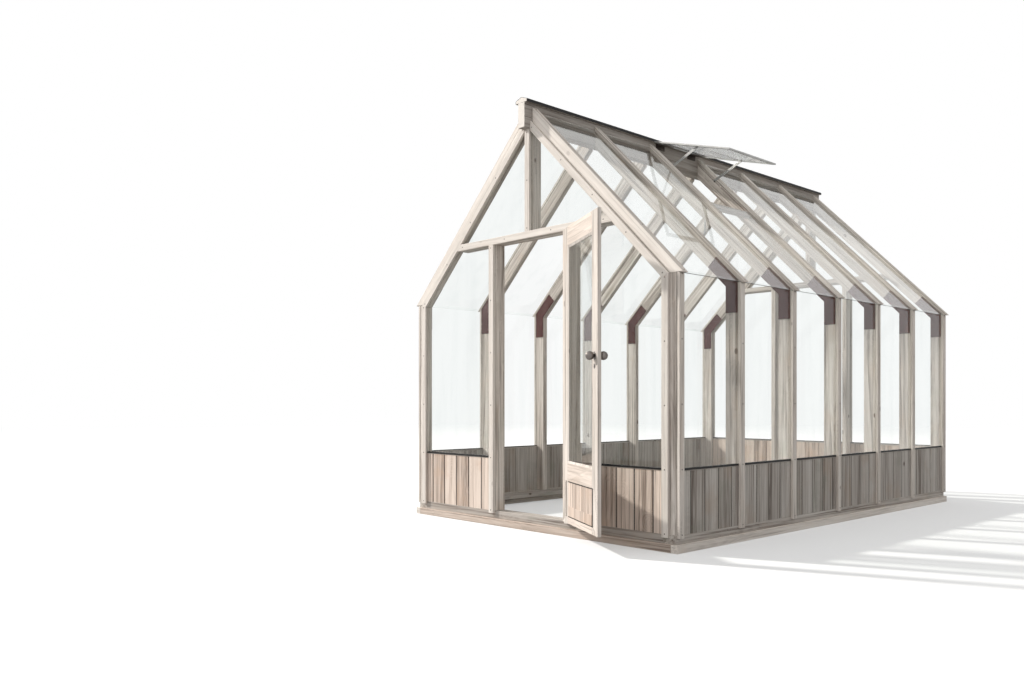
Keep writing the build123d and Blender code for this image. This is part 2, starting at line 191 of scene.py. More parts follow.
def mixed(tree, share, first, second, blend="MIX"):
    """Colour mixed from two."""
    mix = put(tree, "ShaderNodeMix", data_type="RGBA", blend_type=blend)
    for number, value in ((MIX_SHARE, share), (MIX_FIRST, first), (MIX_SECOND, second)):
        if isinstance(value, bpy.types.NodeSocket):
            tree.links.new(value, mix.inputs[number])
        else:
            mix.inputs[number].default_value = value
    return mix.outputs[MIX_RESULT]


def noise(tree, place, scale, detail=3.0, rough=0.55, distortion=0.0):
    """Value of a noise texture."""
    made = put(tree, "ShaderNodeTexNoise", {"Vector": place, "Scale": scale, "Detail": detail,
                                            "Roughness": rough, "Distortion": distortion})
    return made.outputs["Fac"]


def new_material(name):
    """Material with an empty tree that ends in a Principled shader."""
    material = bpy.data.materials.new(name)
    material.use_nodes = True
    tree = material.node_tree
    tree.nodes.clear()
    shader = put(tree, "ShaderNodeBsdfPrincipled")
    put(tree, "ShaderNodeOutputMaterial", {"Surface": shader.outputs[0]})
    return material, tree, shader


def bump(tree, shader, height, distance, strength):
    """Raise the surface by a height, in the shading alone."""
    made = put(tree, "ShaderNodeBump", {"Height": height, "Distance": distance, "Strength": strength})
    tree.links.new(made.outputs[0], shader.inputs["Normal"])


def show_mix(tree, share, first, second):
    """Let the material end in a mix of two shaders."""
    both = put(tree, "ShaderNodeMixShader", {0: share, 1: first.outputs[0], 2: second.outputs[0]})
    output = next(found for found in tree.nodes if found.bl_idname == "ShaderNodeOutputMaterial")
    tree.links.new(both.outputs[0], output.inputs["Surface"])


def colour(red, green, blue):
    """Colour with full alpha."""
    return (red, green, blue, 1.0)


# How far the wood's pattern is moved on a piece, times the random share of the piece, in metres
PATTERN_SHIFT = {"X": 37.0, "Y": 53.0, "Z": 71.0}

# Part of a face's normal along the grain at which it begins to be a sawn end, and is one fully. The sawn ends
# take a painted highlight of sunlight.
END_EDGE = (0.6, 0.8)


def turned_place(tree, turn, mirrored):
    """Object coordinates turned so that the grain runs along Z, with its own place on each piece."""
    place = put(tree, "ShaderNodeTexCoord").outputs["Object"]
    if mirrored:
        parts = put(tree, "ShaderNodeSeparateXYZ", {0: place})
        across = calculate(tree, "ABSOLUTE", parts.outputs["X"])
        place = put(tree, "ShaderNodeCombineXYZ", {"X": across, "Y": parts.outputs["Y"],
                                                   "Z": parts.outputs["Z"]}).outputs[0]
    turned = put(tree, "ShaderNodeVectorRotate", {"Vector": place, "Rotation": turn},
                 rotation_type="EULER_XYZ").outputs[0]
    island = put(tree, "ShaderNodeNewGeometry").outputs["Random Per Island"]
    reaches = {axis: calculate(tree, "MULTIPLY", island, reach) for axis, reach in PATTERN_SHIFT.items()}
    shift = put(tree, "ShaderNodeCombineXYZ", reaches).outputs[0]
    moved = put(tree, "ShaderNodeVectorMath", {0: turned, 1: shift}, operation="ADD").outputs[0]
    return moved, island


def lit_end_share(tree, turn):
    """One on the sawn ends of a timber, nought on its long faces: where a painted highlight of a sunlit end
    goes.
    """
    normal = put(tree, "ShaderNodeTexCoord").outputs["Normal"]
    turned = put(tree, "ShaderNodeVectorRotate", {"Vector": normal, "Rotation": turn},
                 rotation_type="EULER_XYZ").outputs[0]
    along = put(tree, "ShaderNodeSeparateXYZ", {0: turned}).outputs["Z"]
    return between(tree, calculate(tree, "ABSOLUTE", along), *END_EDGE)


def stretched(tree, place, across, along):
    """Place scaled by one number across the grain and another along it."""
    return put(tree, "ShaderNodeVectorMath", {0: place, 1: (across, across, along)},
               operation="MULTIPLY").outputs[0]


def grained(tree, place, grain, detail=3.0, rough=0.55):
    """Value of a noise texture that is drawn out along the grain."""
    return noise(tree, stretched(tree, place, *grain), 1.0, detail, rough)


# Wood tones, from the darkest late wood to the bleached early wood
WOOD_DARK = colour(0.215, 0.178, 0.152)
WOOD_MIDDLE = colour(0.570, 0.510, 0.458)
WOOD_PALE = colour(0.830, 0.775, 0.715)
WOOD_WARM = colour(0.600, 0.445, 0.330)
WOOD_GREEN = colour(0.370, 0.390, 0.310)
WOOD_KNOT = colour(0.150, 0.110, 0.085)
NO_TINT = (1.0, 1.0, 1.0)
ROSY_TINT = (1.06, 0.965, 0.91)
PALE_ROSY_TINT = (1.03, 0.983, 0.955)
WOOD_GLOSS = 0.3
WOOD_ROUGH = (0.90, 0.74)

# How often each figure of the wood repeats in a metre, across the grain and along it
KNOT_GRAIN = (1.0, 0.72)
RING_GRAIN = (7.5, 0.55)
STREAK_GRAIN = (42.0, 1.0)
BROAD_GRAIN = (15.0, 0.8)
FIBRE_GRAIN = (330.0, 9.0)
CRACK_GRAIN = (110.0, 0.9)

# The same for patches without a grain, and for the knots, whose grain above only stretches them
KNOT_SCALE = 4.6
PATCH_SCALE = 3.4
DAMP_SCALE = 2.1

# Values at which each figure begins, and is there in full
KNOT_EDGE = (0.045, 0.085)
BEND_EDGE = (0.04, 0.36)
RING_EDGE = (-0.75, 1.0)
CRACK_EDGE = (0.60, 0.68)
WARM_EDGE = (0.50, 0.72)
DAMP_EDGE = (0.55, 0.70)
TONE_EDGE = (0.34, 0.66)
GLOSS_EDGE = (0.3, 0.7)

# Rings: how far they bend round a knot, and how close they lie
RING_BEND = 0.30
RING_CLOSE = 150.0

# Weights of the figures in the lightness, which runs over a range, and in the height of the bump
STREAK_LIGHT = 0.50
BROAD_LIGHT = 0.24
RING_LIGHT = -0.12
FIBRE_LIGHT = 0.20
LIGHT_RANGE = (0.06, 1.04)
LIGHT_MIDDLE = 0.42
RING_HEIGHT = 0.35
STREAK_HEIGHT = 0.55
FIBRE_HEIGHT = 0.45
CRACK_HEIGHT = -1.3
CRACK_DARK = 0.62
KNOT_DARK = 0.85

# Distance and strength of the bumps
WOOD_BUMP = (0.0016, 0.7)
GLASS_BUMP = (0.004, 0.12)
METAL_BUMP = (0.0006, 0.35)

Figures = namedtuple("Figures", "knot ring streak broad fibre crack")


def wood_figures(tree, place):
    """Knots, growth rings that bend round them, streaks, fibres and cracks along the grain."""
    cells = put(tree, "ShaderNodeTexVoronoi", {"Vector": stretched(tree, place, *KNOT_GRAIN),
                                               "Scale": KNOT_SCALE, "Randomness": 1.0}, feature="F1")
    knot_distance = cells.outputs["Distance"]
    bend = between(tree, knot_distance, *BEND_EDGE, RING_BEND, 0.0)
    swirled = calculate(tree, "ADD", grained(tree, place, RING_GRAIN, detail=2.0, rough=0.4), bend)
    waves = calculate(tree, "SINE", calculate(tree, "MULTIPLY", swirled, RING_CLOSE))
    return Figures(
        knot=between(tree, knot_distance, *KNOT_EDGE, 1.0, 0.0),
        ring=between(tree, waves, *RING_EDGE),
        streak=grained(tree, place, STREAK_GRAIN, detail=4.0, rough=0.60),
        broad=grained(tree, place, BROAD_GRAIN, detail=2.0),
        fibre=grained(tree, place, FIBRE_GRAIN, rough=0.65),
        crack=between(tree, grained(tree, place, CRACK_GRAIN, detail=2.0), *CRACK_EDGE),
    )


def wood_tone(tree, figures, island, variety):
    """Tone of the wood from dark to bleached, by its figures and from piece to piece."""
    light = weighted_sum(tree, (between(tree, figures.streak, *TONE_EDGE), STREAK_LIGHT),
                         (between(tree, figures.broad, *TONE_EDGE), BROAD_LIGHT), (island, variety),
                         (figures.ring, RING_LIGHT), (figures.fibre, FIBRE_LIGHT))
    low, high = LIGHT_RANGE
    share = put(tree, "ShaderNodeMapRange", {"Value": light, "From Min": low, "From Max": high})
    ramp = put(tree, "ShaderNodeValToRGB", {"Fac": share.outputs["Result"]})
    stops = ramp.color_ramp.elements
    stops[0].position = 0.0
    stops[0].color = WOOD_DARK
    stops[1].position = 1.0
    stops[1].color = WOOD_PALE
    stops.new(LIGHT_MIDDLE).color = WOOD_MIDDLE
    return ramp.outputs["Color"]


def stained(tree, tone, stain, share, most):
    """Tone mixed with a stain, by a share of the most that it reaches."""
    return mixed(tree, calculate(tree, "MULTIPLY", share, most), tone, stain)


def weathered_wood(name, turn, mirrored=False, warmth=0.25, algae=0.25, level=1.0, tint=NO_TINT,
                   variety=0.30, bleach_and_painted_light=0.0, painted_lit_ends=False):
    """Grey weathered pine, with warm and green patches across its figures."""
    material, tree, shader = new_material(name)
    place, island = turned_place(tree, turn, mirrored)
    figures = wood_figures(tree, place)
    patch = noise(tree, place, PATCH_SCALE, detail=4.0, rough=0.6)
    damp = noise(tree, place, DAMP_SCALE, detail=5.0, rough=0.65, distortion=0.4)

    tone = wood_tone(tree, figures, island, variety)
    tone = stained(tree, tone, WOOD_WARM, between(tree, patch, *WARM_EDGE), warmth)
    tone = stained(tree, tone, WOOD_GREEN, between(tree, damp, *DAMP_EDGE), algae)
    tone = stained(tree, tone, WOOD_KNOT, figures.crack, CRACK_DARK)
    tone = stained(tree, tone, WOOD_KNOT, figures.knot, KNOT_DARK)
    # Paler towards the pale tone: real bleaching, and painted light on the gable strips and the side ground
    # sills
    tone = mixed(tree, bleach_and_painted_light, tone, WOOD_PALE)
    tone = mixed(tree, 1.0, tone, colour(*(level * share for share in tint)), blend="MULTIPLY")
    # Sawn ends turned pale: a painted highlight of a sunlit end face
    if painted_lit_ends:
        tone = mixed(tree, lit_end_share(tree, turn), tone, WOOD_PALE)
    tree.links.new(tone, shader.inputs["Base Color"])

    height = weighted_sum(tree, (figures.ring, RING_HEIGHT), (figures.streak, STREAK_HEIGHT),
                          (figures.fibre, FIBRE_HEIGHT), (figures.crack, CRACK_HEIGHT))
    bump(tree, shader, height, *WOOD_BUMP)
    rough = between(tree, figures.streak, *GLOSS_EDGE, *WOOD_ROUGH)
    tree.links.new(rough, shader.inputs["Roughness"])
    shader.inputs["Specular IOR Level"].default_value = WOOD_GLOSS
    return material


# Glass: a clean and a dusty tone, and what its shadow lets through
GLASS_CLEAN = colour(0.955, 0.968, 0.963)
GLASS_DUSTY = colour(0.925, 0.942, 0.937)
GLASS_SHADOW = colour(0.91, 0.92, 0.915)
GLASS_IOR = 1.25
DRIP_GRAIN = (9.0, 0.8)
DRIP_EDGE = (0.45, 0.75)
RIPPLE_SCALE = 1.6


def clear_glass(name):
    """Clear greenhouse glass with a faint green tint. It dims the lamps' light a little."""
    material, tree, shader = new_material(name)
    place = put(tree, "ShaderNodeTexCoord").outputs["Object"]
    drips = between(tree, grained(tree, place, DRIP_GRAIN), *DRIP_EDGE)
    tree.links.new(mixed(tree, drips, GLASS_CLEAN, GLASS_DUSTY), shader.inputs["Base Color"])
    bump(tree, shader, noise(tree, place, RIPPLE_SCALE, detail=1.0), *GLASS_BUMP)
    shader.inputs["Roughness"].default_value = 0.0
    shader.inputs["IOR"].default_value = GLASS_IOR
    shader.inputs["Transmission Weight"].default_value = 1.0
    through = put(tree, "ShaderNodeBsdfTransparent", {"Color": GLASS_SHADOW})
    path = put(tree, "ShaderNodeLightPath")
    lighting = calculate(tree, "MAXIMUM", path.outputs["Is Shadow Ray"], path.outputs["Is Diffuse Ray"])
    show_mix(tree, lighting, shader, through)
    return material


# Metal: its clouds and worn spots, and how much smoother and rougher the clouds make it
CLOUD_SCALE = 22.0
SPOT_SCALE = 160.0
SPOT_EDGE = (0.56, 0.68)
CLOUD_SMOOTHER = 0.08
CLOUD_ROUGHER = 0.12


def worn_metal(name, base, worn, wear, metallic, rough, gloss=0.5):
    """Painted or plain metal with a cloudy finish and worn spots."""
    material, tree, shader = new_material(name)
    place = put(tree, "ShaderNodeTexCoord").outputs["Object"]
    clouds = noise(tree, place, CLOUD_SCALE, detail=5.0, rough=0.6)
    spots = between(tree, noise(tree, place, SPOT_SCALE, detail=4.0, rough=0.7), *SPOT_EDGE)
    tone = stained(tree, base, worn, clouds, wear)
    tone = stained(tree, tone, worn, spots, wear)
    tree.links.new(tone, shader.inputs["Base Color"])
    cloudy = between(tree, clouds, *GLOSS_EDGE, rough - CLOUD_SMOOTHER, rough + CLOUD_ROUGHER)
    tree.links.new(cloudy, shader.inputs["Roughness"])
    bump(tree, shader, clouds, *METAL_BUMP)
    shader.inputs["Metallic"].default_value = metallic
    shader.inputs["Specular IOR Level"].default_value = gloss
    return material


QUARTER = math.pi / 2


def grain_turn(heading):
    """Turn that brings a level grain with a heading, measured from X, to run along Z."""
    level = Matrix.Rotation(-heading, 3, "Z")
    return tuple((Matrix.Rotation(QUARTER, 3, "Y") @ level).to_euler("XYZ"))


UPRIGHT = (0.0, 0.0, 0.0)
LENGTHWISE = (QUARTER, 0.0, 0.0)
CROSSWISE = (0.0, QUARTER, 0.0)
SLOPING = (0.0, QUARTER / 2, 0.0)

upright_wood = weathered_wood("upright_wood", UPRIGHT)
wall_strip_wood = weathered_wood("wall_strip_wood", UPRIGHT, bleach_and_painted_light=0.20)
roof_strip_wood = weathered_wood("roof_strip_wood", SLOPING, mirrored=True, bleach_and_painted_light=0.25)
# Gable strips and barge boards: the strip wood made much paler than on the walls and roof, which paints
# sunlight of the front gable into it
gable_upright_strip_sunlit_wood = weathered_wood("gable_upright_strip_sunlit_wood", UPRIGHT, bleach_and_painted_light=0.50)
gable_sloping_strip_sunlit_wood = weathered_wood("gable_sloping_strip_sunlit_wood", SLOPING, mirrored=True, level=1.03,
                                          bleach_and_painted_light=0.60)
gable_level_strip_sunlit_wood = weathered_wood("gable_level_strip_sunlit_wood", CROSSWISE, level=1.03, bleach_and_painted_light=0.60)
# Two copies of the board wood: the side boards darker, with painted shade of the shaded long wall, and the
# gable boards lighter, with painted sunlight of the front
side_board_shaded_wood = weathered_wood("side_board_shaded_wood", UPRIGHT, warmth=0.35, algae=0.4, level=0.66,
                                 variety=0.5)
gable_board_sunlit_wood = weathered_wood("gable_board_sunlit_wood", UPRIGHT, warmth=0.5, algae=0.1, level=0.90,
                                  tint=ROSY_TINT, variety=0.5)
# Nearly black wood of the liners in the board gaps and round the door's panel: painted shade
gap_shade_wood = weathered_wood("gap_shade_wood", UPRIGHT, level=0.10)
side_sill_wood = weathered_wood("side_sill_wood", LENGTHWISE, algae=0.35, level=0.74)
gable_sill_wood = weathered_wood("gable_sill_wood", CROSSWISE, algae=0.35, level=0.68)
# The side ground sills are paler, with painted light that bounces up onto them from the ground
side_ground_bounce_lit_wood = weathered_wood("side_ground_bounce_lit_wood", LENGTHWISE, algae=0.1, level=1.12, bleach_and_painted_light=0.35)
gable_ground_wood = weathered_wood("gable_ground_wood", CROSSWISE, algae=0.1, level=0.78, tint=ROSY_TINT)
lengthwise_wood = weathered_wood("lengthwise_wood", LENGTHWISE, algae=0.4)
crosswise_wood = weathered_wood("crosswise_wood", CROSSWISE, algae=0.35)
sloping_wood = weathered_wood("sloping_wood", SLOPING, mirrored=True)
# The ridge is darker than the other timbers: partly its own tone, partly painted shade of its shaded sides
ridge_shaded_wood = weathered_wood("ridge_shaded_wood", LENGTHWISE, algae=0.2, level=0.60, painted_lit_ends=True)
door_wood = weathered_wood("door_wood", UPRIGHT, warmth=0.3, algae=0.1, level=0.90, bleach_and_painted_light=0.25)
door_rail_wood = weathered_wood("door_rail_wood", grain_turn(DOOR_OPEN), warmth=0.3, algae=0.1, level=0.88,
                                tint=PALE_ROSY_TINT, bleach_and_painted_light=0.35)
door_panel_wood = weathered_wood("door_panel_wood", UPRIGHT, warmth=0.4, algae=0.1, level=0.82,
                                 tint=ROSY_TINT, variety=0.12, bleach_and_painted_light=0.15)
glass = clear_glass("clear_glass")
oxide = worn_metal("oxide_plate", base=colour(0.045, 0.011, 0.010), worn=colour(0.085, 0.026, 0.022),
                   wear=0.6, metallic=0.0, rough=0.62, gloss=0.2)
black = worn_metal("black_flashing", base=colour(0.008, 0.008, 0.009), worn=colour(0.030, 0.028, 0.026),
                   wear=0.5, metallic=0.0, rough=0.50, gloss=0.2)
aluminium = worn_metal("aluminium_bar", base=colour(0.40, 0.40, 0.39), worn=colour(0.24, 0.24, 0.23),
                       wear=0.5, metallic=0.8, rough=0.45)
dark_steel = worn_metal("dark_steel", base=colour(0.050, 0.045, 0.042), worn=colour(0.130, 0.085, 0.060),
                        wear=0.5, metallic=0.6, rough=0.42)
hinge_steel = worn_metal("hinge_steel", base=colour(0.30, 0.29, 0.28), worn=colour(0.14, 0.10, 0.08),
                         wear=0.5, metallic=0.9, rough=0.40)
knob_steel = worn_metal("knob_steel", base=colour(0.210, 0.190, 0.178), worn=colour(0.085, 0.070, 0.062),
                        wear=0.6, metallic=0.85, rough=0.34)


# Finish of the CAD nodes

def soften(piece, width):
    """Round the sharp edges of a piece a little."""
    bevel = piece.modifiers.new("Bevel", "BEVEL")
    bevel.width = width
    bevel.segments = BEVEL_STEPS
    bevel.limit_method = "ANGLE"
    bevel.use_clamp_overlap = True


def finish_node(name, material, bevel):
    """Give a node its material, and soften its edges where a bevel is given."""
    node = nodes[name]
    node.data.materials.clear()
    node.data.materials.append(material)
    weld = node.modifiers.new("Weld", "WELD")
    weld.merge_threshold = WELD_DISTANCE
    if bevel:
        soften(node, bevel)


FINISHES = {
    "left_posts": (upright_wood, TIMBER_BEVEL),
    "right_posts": (upright_wood, TIMBER_BEVEL),
    "front_gable_posts": (upright_wood, TIMBER_BEVEL),
    "back_gable_posts": (upright_wood, TIMBER_BEVEL),
    "front_king_post": (upright_wood, TIMBER_BEVEL),
    "back_king_post": (upright_wood, TIMBER_BEVEL),
    "left_rafters": (sloping_wood, TIMBER_BEVEL),
    "right_rafters": (sloping_wood, TIMBER_BEVEL),
    "ridge_beam": (ridge_shaded_wood, TIMBER_BEVEL),
    "ridge_saddle": (ridge_shaded_wood, STRIP_BEVEL),
    "ridge_cap": (black, 0.0),
    "left_ground_sill": (side_ground_bounce_lit_wood, TIMBER_BEVEL),
    "right_ground_sill": (side_ground_bounce_lit_wood, TIMBER_BEVEL),
    "front_ground_sill": (gable_ground_wood, TIMBER_BEVEL),
    "back_ground_sill": (gable_ground_wood, TIMBER_BEVEL),
    "left_wall_sill": (side_sill_wood, TIMBER_BEVEL),
    "right_wall_sill": (side_sill_wood, TIMBER_BEVEL),
    "front_wall_sill": (gable_sill_wood, TIMBER_BEVEL),
    "back_wall_sill": (gable_sill_wood, TIMBER_BEVEL),
    "front_transom": (crosswise_wood, TIMBER_BEVEL),
    "back_transom": (crosswise_wood, TIMBER_BEVEL),
    "left_wall_strips": (wall_strip_wood, STRIP_BEVEL),
    "right_wall_strips": (wall_strip_wood, STRIP_BEVEL),
    "left_roof_strips": (roof_strip_wood, STRIP_BEVEL),
    "right_roof_strips": (roof_strip_wood, STRIP_BEVEL),
    "front_post_strips": (gable_upright_strip_sunlit_wood, STRIP_BEVEL),
    "back_post_strips": (gable_upright_strip_sunlit_wood, STRIP_BEVEL),
    "front_rafter_strips": (gable_sloping_strip_sunlit_wood, STRIP_BEVEL),
    "back_rafter_strips": (gable_sloping_strip_sunlit_wood, STRIP_BEVEL),
    "front_transom_strip": (gable_level_strip_sunlit_wood, STRIP_BEVEL),
    "back_transom_strip": (gable_level_strip_sunlit_wood, STRIP_BEVEL),
    "left_knee_plates": (oxide, METAL_BEVEL),
    "right_knee_plates": (oxide, METAL_BEVEL),
    "side_flashing": (black, METAL_BEVEL),
    "gable_flashing": (black, METAL_BEVEL),
    "left_wall_glass": (glass, 0.0),
    "right_wall_glass": (glass, 0.0),
    "left_roof_glass": (glass, 0.0),
    "right_roof_glass": (glass, 0.0),
    "front_gable_glass": (glass, 0.0),
    "back_gable_glass": (glass, 0.0),
    "vent_glass": (glass, 0.0),
    "vent_side_bars": (aluminium, METAL_BEVEL),
    "vent_end_bars": (aluminium, METAL_BEVEL),
    "vent_trimmer": (lengthwise_wood, TIMBER_BEVEL),
    "vent_opener": (aluminium, 0.0),
    "vent_stays": (aluminium, METAL_BEVEL),
    "vent_brackets": (dark_steel, METAL_BEVEL),
    "door_stiles": (door_wood, TIMBER_BEVEL),
    "door_rails": (door_rail_wood, TIMBER_BEVEL),
    "door_glass": (glass, 0.0),
    "door_knobs": (knob_steel, 0.0),
    "door_hinge_post_halves": (hinge_steel, METAL_BEVEL),
    "door_hinge_leaf_halves": (hinge_steel, METAL_BEVEL),
}
for node_name, (node_material, node_bevel) in FINISHES.items():
    finish_node(node_name, node_material, node_bevel)


# Meshes

def object_from(name, mesh, material, body, place=Matrix.Identity(4)):
    """Object of a finished mesh that rides on a body."""
    piece = bpy.data.objects.new(name, mesh)
    bpy.context.scene.collection.objects.link(piece)
    mesh.materials.append(material)
    piece.matrix_world = place
    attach(piece, body)
    return piece


def rectangle(left, right, near, far):
    """Outline of a rectangle."""
    return [(left, near), (right, near), (right, far), (left, far)]


def add_prism(shape, outline, low, high, place):
    """Add a closed prism over an (x, y) outline between two heights, moved to its place."""
    bottom = [shape.verts.new(place @ Vector((x, y, low))) for x, y in outline]
    top = [shape.verts.new(place @ Vector((x, y, high))) for x, y in outline]
    shape.faces.new(list(reversed(bottom)))
    shape.faces.new(top)
    for number, start in enumerate(bottom):
        following = (number + 1) % len(bottom)
        shape.faces.new((start, bottom[following], top[following], top[number]))


def mesh_from(name, shape, smooth_angle=0.0):
    """Mesh of what was added, with its faces turned outwards and shaded smooth up to an angle."""
    bmesh.ops.recalc_face_normals(shape, faces=shape.faces)
    for face in shape.faces:
        face.smooth = smooth_angle > 0
    for edge in shape.edges:
        edge.smooth = edge.calc_face_angle(math.pi) < smooth_angle
    mesh = bpy.data.meshes.new(name)
    shape.to_mesh(mesh)
    shape.free()
    return mesh


def board_outline(wide, thick, section):
    """Section of a board: chamfered edges, and a tongue that closes the gap to the next board, if any."""
    side = wide - section.gap
    chamfer = section.chamfer
    far = thick - section.behind
    near = far - section.tongue
    joint = [(side, near), (wide, near), (wide, far), (side, far)] if section.gap else []
    return [(chamfer, 0), (side - chamfer, 0), (side, chamfer), *joint, (side, thick - chamfer),
            (side - chamfer, thick), (chamfer, thick), (0, thick - chamfer), (0, chamfer)]


def board_edges(start, finish, seam, pitch):
    """Edges of boards of one pitch, with a seam at one place, and the end boards cut off."""
    first = math.ceil((start + BOARD_LEAST - seam) / pitch)
    last = math.floor((finish - BOARD_LEAST - seam) / pitch)
    inner = [seam + number * pitch for number in range(first, last + 1)]
    return [start] + inner + [finish]


def add_boards(shape, edges, low, high, thick, section, place, dice):
    """Add a row of upright boards. Their outer faces lie on y = 0, give or take a little."""
    for start, finish in zip(edges, edges[1:]):
        sunk = dice.uniform(0, BOARD_PROUD)
        own_section = section if finish < edges[-1] else section._replace(gap=0)
        outline = board_outline(finish - start, thick - BOARD_PROUD, own_section)
        add_prism(shape, outline, low, high, place @ Matrix.Translation((start, sunk, 0)))


def solid_boxes(node):
    """Boxes of the separate solids of a node."""
    shape = bmesh.new()
    shape.from_mesh(nodes[node].data)
    bmesh.ops.remove_doubles(shape, verts=shape.verts, dist=WELD_DISTANCE)
    left = set(shape.verts)
    boxes = []
    while left:
        waiting = [left.pop()]
        found = []
        while waiting:
            vertex = waiting.pop()
            found.append(vertex.co.copy())
            for edge in vertex.link_edges:
                other = edge.other_vert(vertex)
                if other in left:
                    left.remove(other)
                    waiting.append(other)
        low = Vector(map(min, zip(*found)))
        high = Vector(map(max, zip(*found)))
        boxes.append((low, high))
    shape.free()
    return sorted(boxes, key=lambda corners: tuple(corners[0]))


def build_dado(name, turn, board_wood, rail_wood, seam_of):
    """Boards with nearly black liners of painted shade in their gaps, and a rail along their top, in place of
    a dado node.
    """
    dice = random.Random(name)
    node = name + "_dado"
    boards = bmesh.new()
    gap_shades = bmesh.new()
    rails = bmesh.new()
    turned = Matrix.Rotation(turn, 4, "Z")
    for panel_box in solid_boxes(node):
        corners = [turned.inverted() @ corner for corner in panel_box]
        start, finish = sorted(corner.x for corner in corners)
        face = min(corner.y for corner in corners)
        thick = abs(corners[1].y - corners[0].y)
        place = turned @ Matrix.Translation((0, face, 0))
        edges = board_edges(start, finish, seam_of(start, finish), BOARD_PITCH)
        add_boards(boards, edges, SILL_TOP, DADO_TOP - RAIL_HIGH, thick, DADO_SECTION, place, dice)
        back = thick - DADO_SECTION.behind - DADO_SECTION.tongue - BOARD_PROUD
        # Nearly black liner in each gap between boards: painted shade
        for seam in edges[1:-1]:
            gap = rectangle(seam - DADO_SECTION.gap, seam, GAP_SHADE_DEPTH, back)
            add_prism(gap_shades, gap, SILL_TOP, DADO_TOP - RAIL_HIGH, place)
        rail = rectangle(start, finish, -RAIL_PROUD, thick)
        add_prism(rails, rail, DADO_TOP - RAIL_HIGH, DADO_TOP, place)
    panel = object_from(name + "_dado_boards", mesh_from(name + "_dado_boards", boards), board_wood,
                        BUILDING)
    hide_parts(node)
    object_from(name + "_dado_gap_shades", mesh_from(name + "_dado_gap_shades", gap_shades), gap_shade_wood, BUILDING)
    trim = object_from(name + "_dado_rail", mesh_from(name + "_dado_rail", rails), rail_wood,
                       BUILDING)
    soften(trim, STRIP_BEVEL)


DOORWAY_HALF = solid_boxes("front_gable_posts")[1][0].x


def beside_doorway(start, finish):
    """Seam at the doorway's edge, or half a board from the middle of a panel that fills the doorway."""
    if start < 0 < finish:
        return BOARD_PITCH / 2
    return math.copysign(DOORWAY_HALF, start)


def build_lips():
    """Edges of the black flashings, turned down over the boards."""
    shape = bmesh.new()
    for low, high in solid_boxes("side_flashing"):
        outer, inner = (high.x, high.x - LIP_THICK) if high.x > 0 else (low.x, low.x + LIP_THICK)
        outline = rectangle(outer, inner, low.y, high.y)
        add_prism(shape, outline, low.z - LIP_HIGH, low.z, Matrix.Identity(4))
    for low, high in solid_boxes("gable_flashing"):
        outer, inner = (low.y, low.y + LIP_THICK) if low.y < LENGTH / 2 else (high.y, high.y - LIP_THICK)
        outline = rectangle(low.x, high.x, outer, inner)
        add_prism(shape, outline, low.z - LIP_HIGH, low.z, Matrix.Identity(4))
    object_from("flashing_lips", mesh_from("flashing_lips", shape), black, BUILDING)


def slope_reach(node):
    """Lowest and highest sum of X, taken as positive, and Z in a node. It is the same all along a slope."""
    sums = [abs(vertex.co.x) + vertex.co.z for vertex in nodes[node].data.vertices]
    return min(sums), max(sums)


def build_barges():
    """Thin boards at the gables, from the rafter strips up over the edges of the glass and roof strips."""
    shape = bmesh.new()
    low_sum = slope_reach("front_rafter_strips")[1] + BARGE_GAP
    high_sum = slope_reach("right_roof_strips")[1] - BARGE_SUNK
    top_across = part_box("ridge_beam")[1].x + BARGE_GAP
    foot_height = low_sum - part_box("front_rafter_strips")[1].x
    outline = [(top_across, low_sum - top_across), (low_sum - foot_height, foot_height),
               (high_sum - foot_height, foot_height), (top_across, high_sum - top_across)]
    depths = [(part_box("front_rafter_strips")[1].y, 0.0), (LENGTH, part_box("back_rafter_strips")[0].y)]
    for side in SIDES.values():
        for outer, inner in depths:
            standing = Matrix(((side, 0, 0, 0), (0, 0, 1, 0), (0, 1, 0, 0), (0, 0, 0, 1)))
            add_prism(shape, outline, outer, inner, standing)
    barges = object_from("barge_boards", mesh_from("barge_boards", shape), gable_sloping_strip_sunlit_wood, BUILDING)
    soften(barges, METAL_BEVEL)


build_dado("front", 0.0, gable_board_sunlit_wood, gable_sill_wood, beside_doorway)
build_dado("right", QUARTER, side_board_shaded_wood, side_sill_wood, lambda start, finish: CORNER)
build_dado("back", 2 * QUARTER, gable_board_sunlit_wood, gable_sill_wood, beside_doorway)
build_dado("left", 3 * QUARTER, side_board_shaded_wood, side_sill_wood, lambda start, finish: -CORNER)
build_lips()
build_barges()

# Places on the door as it is when shut
HINGE_PLACE = Vector(DOOR_HINGE["pos_m"])
SWING = (Matrix.Translation((HINGE_PLACE.x, HINGE_PLACE.y, 0)) @ Matrix.Rotation(DOOR_OPEN, 4, "Z")
         @ Matrix.Translation((-HINGE_PLACE.x, -HINGE_PLACE.y, 0)))


def shut_box(node):
    """Lowest and highest corners of a door node when the door is shut."""
    back = SWING.inverted()
    points = [back @ vertex.co for vertex in nodes[node].data.vertices]
    low = Vector(map(min, zip(*points)))
    high = Vector(map(max, zip(*points)))
    return low, high


